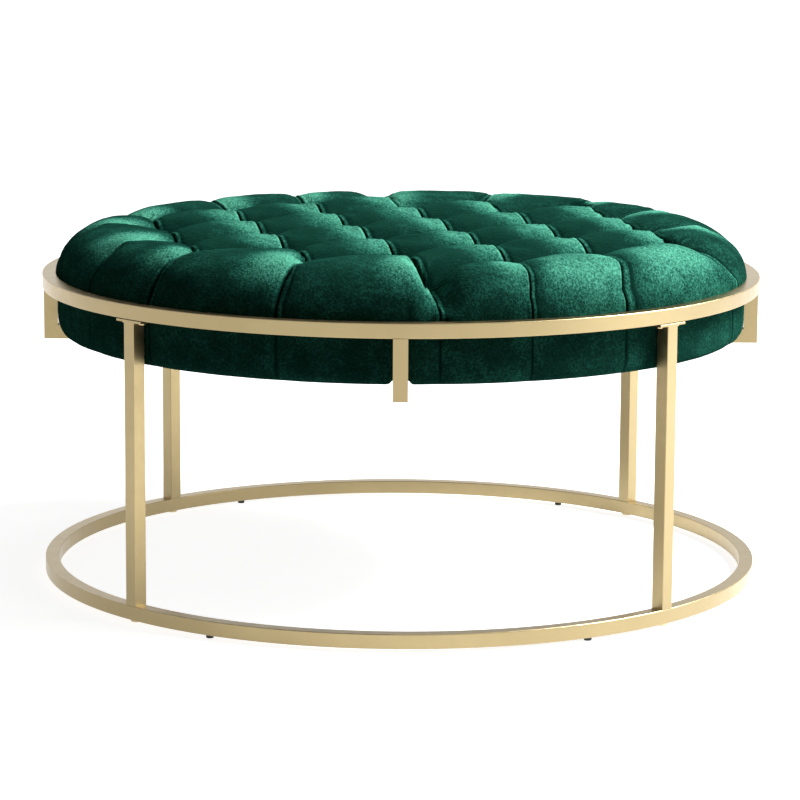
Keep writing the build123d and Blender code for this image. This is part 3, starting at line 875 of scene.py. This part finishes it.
def satin_metal(name, light, dark, roughness):
    """Plated metal with a faint grain, slightly cloudy in colour and gloss."""
    material, tree, shader = new_finish(name)
    cloud = mottle(tree, scale=9, detail=3, roughness=0.5)
    tree.links.new(two_shades(tree, cloud, dark, light), shader.inputs["Base Color"])
    gloss = mottle(tree, scale=60, detail=4, roughness=0.6)
    rough = two_shades(tree, gloss, grey(roughness - GLOSSIER), grey(roughness + DULLER))
    tree.links.new(rough, shader.inputs["Roughness"])
    shader.inputs["Metallic"].default_value = 1.0
    shader.inputs["Specular Tint"].default_value = (0.95, 0.88, 0.76, 1.0)
    shader.inputs["Coat Weight"].default_value = 0.7
    shader.inputs["Coat Roughness"].default_value = 0.30
    grain = mottle(tree, scale=900, detail=2, roughness=0.7)
    bump(tree, shader, grain, strength=0.12, distance=0.0004)
    return material


gold = satin_metal("satin_gold", light=(0.345, 0.268, 0.128), dark=(0.31, 0.238, 0.110),
                   roughness=0.33)
screw_gold = satin_metal("screw_gold", light=(0.62, 0.47, 0.25), dark=(0.50, 0.37, 0.19),
                         roughness=0.30)
zinc = satin_metal("zinc_steel", light=(0.62, 0.64, 0.66), dark=(0.50, 0.52, 0.54),
                   roughness=0.34)
print("metals:", gold.name, screw_gold.name, zinc.name)

# %% [markdown]
# ## Glides, foam, twine and lining
#
# Rubber, foam, twine and black cloth all scatter light evenly, so one function serves them.
# They differ in their two shades, in how fine their mottling is, and in how rough they are.

# %% Dull finishes
SMOOTHER = 0.12


def dull_finish(name, light, dark, scale, roughness, relief):
    """A plain matt material, mottled between two shades, with a fine relief."""
    material, tree, shader = new_finish(name)
    speckle = mottle(tree, scale=scale, detail=4, roughness=0.6)
    tree.links.new(two_shades(tree, speckle, dark, light), shader.inputs["Base Color"])
    rough = two_shades(tree, speckle, grey(roughness), grey(roughness - SMOOTHER))
    tree.links.new(rough, shader.inputs["Roughness"])
    bump(tree, shader, speckle, strength=0.4, distance=relief)
    return material


rubber = dull_finish("black_glide", light=(0.020, 0.020, 0.021), dark=(0.008, 0.008, 0.009),
                     scale=300, roughness=0.6, relief=0.0003)
foam = dull_finish("foam", light=(0.86, 0.80, 0.62), dark=(0.74, 0.67, 0.48),
                   scale=500, roughness=0.95, relief=0.0008)
twine = dull_finish("twine", light=(0.62, 0.56, 0.44), dark=(0.42, 0.36, 0.26),
                    scale=900, roughness=0.9, relief=0.0004)
lining = dull_finish("black_cloth", light=(0.022, 0.022, 0.024), dark=(0.009, 0.009, 0.010),
                     scale=700, roughness=0.95, relief=0.0005)
print("dull finishes:", rubber.name, foam.name, twine.name, lining.name)

# %% [markdown]
# ## Plywood
#
# The seat board's faces show long grain. Noise that is stretched along one axis gives it, and
# one ramp turns it into pale and darker wood.

# %% Plywood, its grain along the X axis
plywood, tree, shader = new_finish("plywood")
grain = mottle(tree, scale=30, detail=6, roughness=0.6, stretch=(0.12, 1.6, 1.6))
wood = two_shades(tree, grain, low=(0.42, 0.26, 0.13), high=(0.66, 0.47, 0.27))
tree.links.new(wood, shader.inputs["Base Color"])
shader.inputs["Roughness"].default_value = 0.62
bump(tree, shader, grain, strength=0.35, distance=0.0006)
print("plywood:", len(tree.nodes), "nodes")

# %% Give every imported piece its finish
finishes = {
    "gold_frame": gold,
    "gold_screw": screw_gold,
    "zinc_steel": zinc,
    "black_glide": rubber,
    "green_velvet": velvet,
    "foam": foam,
    "plywood": plywood,
    "black_cloth": lining,
    "twine": twine,
}
slot_of = {entry["node"]: entry["material_slot"] for entry in frame["record"]["subparts"]}
for name, piece in frame["nodes"].items():
    material = finishes[slot_of[name]]
    piece.data.materials.clear()
    piece.data.materials.append(material)
print(len(frame["nodes"]), "packed pieces have their finish")

# %% [markdown]
# ## Studio
#
# The table stands on a white floor in white surroundings, as in a studio with a paper sweep.
# Lamps bright enough to turn the paper white would also flatten the velvet. So the paper and
# the surroundings glow only where the camera sees them, by itself or in the metal, and
# give the table much less light than they seem to.

# %% Floor
FLOOR_HALF_WIDTH = 14
floor_mesh = bmesh.new()
bmesh.ops.create_grid(floor_mesh, x_segments=2, y_segments=2, size=FLOOR_HALF_WIDTH)
floor_data = bpy.data.meshes.new("floor")
floor_mesh.to_mesh(floor_data)
floor_mesh.free()
floor = bpy.data.objects.new("floor", floor_data)
scene.collection.objects.link(floor)
paper, tree, shader = new_finish("white_paper")
shader.inputs["Base Color"].default_value = (0.55, 0.55, 0.55, 1.0)
shader.inputs["Roughness"].default_value = 0.9
shader.inputs["Specular IOR Level"].default_value = 0.1
floor_data.materials.append(paper)
print("floor:", 2 * FLOOR_HALF_WIDTH, "metres wide")

# %% The paper's glow, a little weaker near the table
def seen_directly(tree):
    """1 for what the camera sees itself, in metal or through glass, and 0 for other light."""
    seen = add_node(tree, "ShaderNodeLightPath")
    clear = add_node(tree, "ShaderNodeMath", operation="MAXIMUM")
    tree.links.new(seen.outputs["Is Camera Ray"], clear.inputs[0])
    tree.links.new(seen.outputs["Is Transmission Ray"], clear.inputs[1])
    direct = add_node(tree, "ShaderNodeMath", operation="MAXIMUM")
    tree.links.new(clear.outputs[0], direct.inputs[0])
    tree.links.new(seen.outputs["Is Glossy Ray"], direct.inputs[1])
    return direct.outputs[0]


NEAR, FAR = 0.5, 2.2
GLOW_NEAR, GLOW_FAR = 0.84, 1.0
place = add_node(tree, "ShaderNodeTexCoord")
away = add_node(tree, "ShaderNodeVectorMath", operation="LENGTH")
tree.links.new(place.outputs["Object"], away.inputs[0])
level = add_node(tree, "ShaderNodeMapRange", interpolation_type="SMOOTHSTEP")
level.inputs["From Min"].default_value = NEAR
level.inputs["From Max"].default_value = FAR
level.inputs["To Min"].default_value = GLOW_NEAR
level.inputs["To Max"].default_value = GLOW_FAR
tree.links.new(away.outputs["Value"], level.inputs["Value"])
glow = add_node(tree, "ShaderNodeMath", operation="MULTIPLY")
tree.links.new(level.outputs["Result"], glow.inputs[0])
tree.links.new(seen_directly(tree), glow.inputs[1])
shader.inputs["Emission Color"].default_value = (1.0, 1.0, 1.0, 1.0)
tree.links.new(glow.outputs[0], shader.inputs["Emission Strength"])
print("the paper glows from", GLOW_NEAR, "to", GLOW_FAR)

# %% White surroundings, dimmer as a light than they look
AS_A_LIGHT, AS_SEEN = 0.2, 1.0
world = bpy.data.worlds.new("studio")
scene.world = world
world.use_nodes = True
tree = world.node_tree
background = tree.nodes["Background"]
background.inputs["Color"].default_value = (1.0, 1.0, 1.0, 1.0)
strength = add_node(tree, "ShaderNodeMapRange")
strength.inputs["To Min"].default_value = AS_A_LIGHT
strength.inputs["To Max"].default_value = AS_SEEN
tree.links.new(seen_directly(tree), strength.inputs["Value"])
tree.links.new(strength.outputs["Result"], background.inputs["Strength"])
print("the surroundings look", AS_SEEN, "bright and light the table with", AS_A_LIGHT)

# %% [markdown]
# ## Lamps
#
# Both lamps stand on the right. The strong one is high up and as wide as a window, and the
# painted highlights at the right end of each pillow lie on the side that faces it. The weak
# one is lower and further to the front, and lights the right side of the frame and of the
# cushion.

# %% Soft panels of light
def panel(name, place, aim, size, power):
    """A square lamp at a place, turned towards a point."""
    lamp = bpy.data.lights.new(name, "AREA")
    lamp.size = size
    lamp.energy = power
    holder = bpy.data.objects.new(name, lamp)
    scene.collection.objects.link(holder)
    turn = (Vector(aim) - Vector(place)).to_track_quat("-Z", "Y")
    holder.matrix_world = Matrix.Translation(place) @ turn.to_matrix().to_4x4()


panel("high_right", place=(2.6, 0.0, 2.75), aim=(0, 0, 0.45), size=1.6, power=400)
panel("low_right", place=(3.2, -0.9, 1.3), aim=(0, 0, 0.4), size=1.6, power=50)
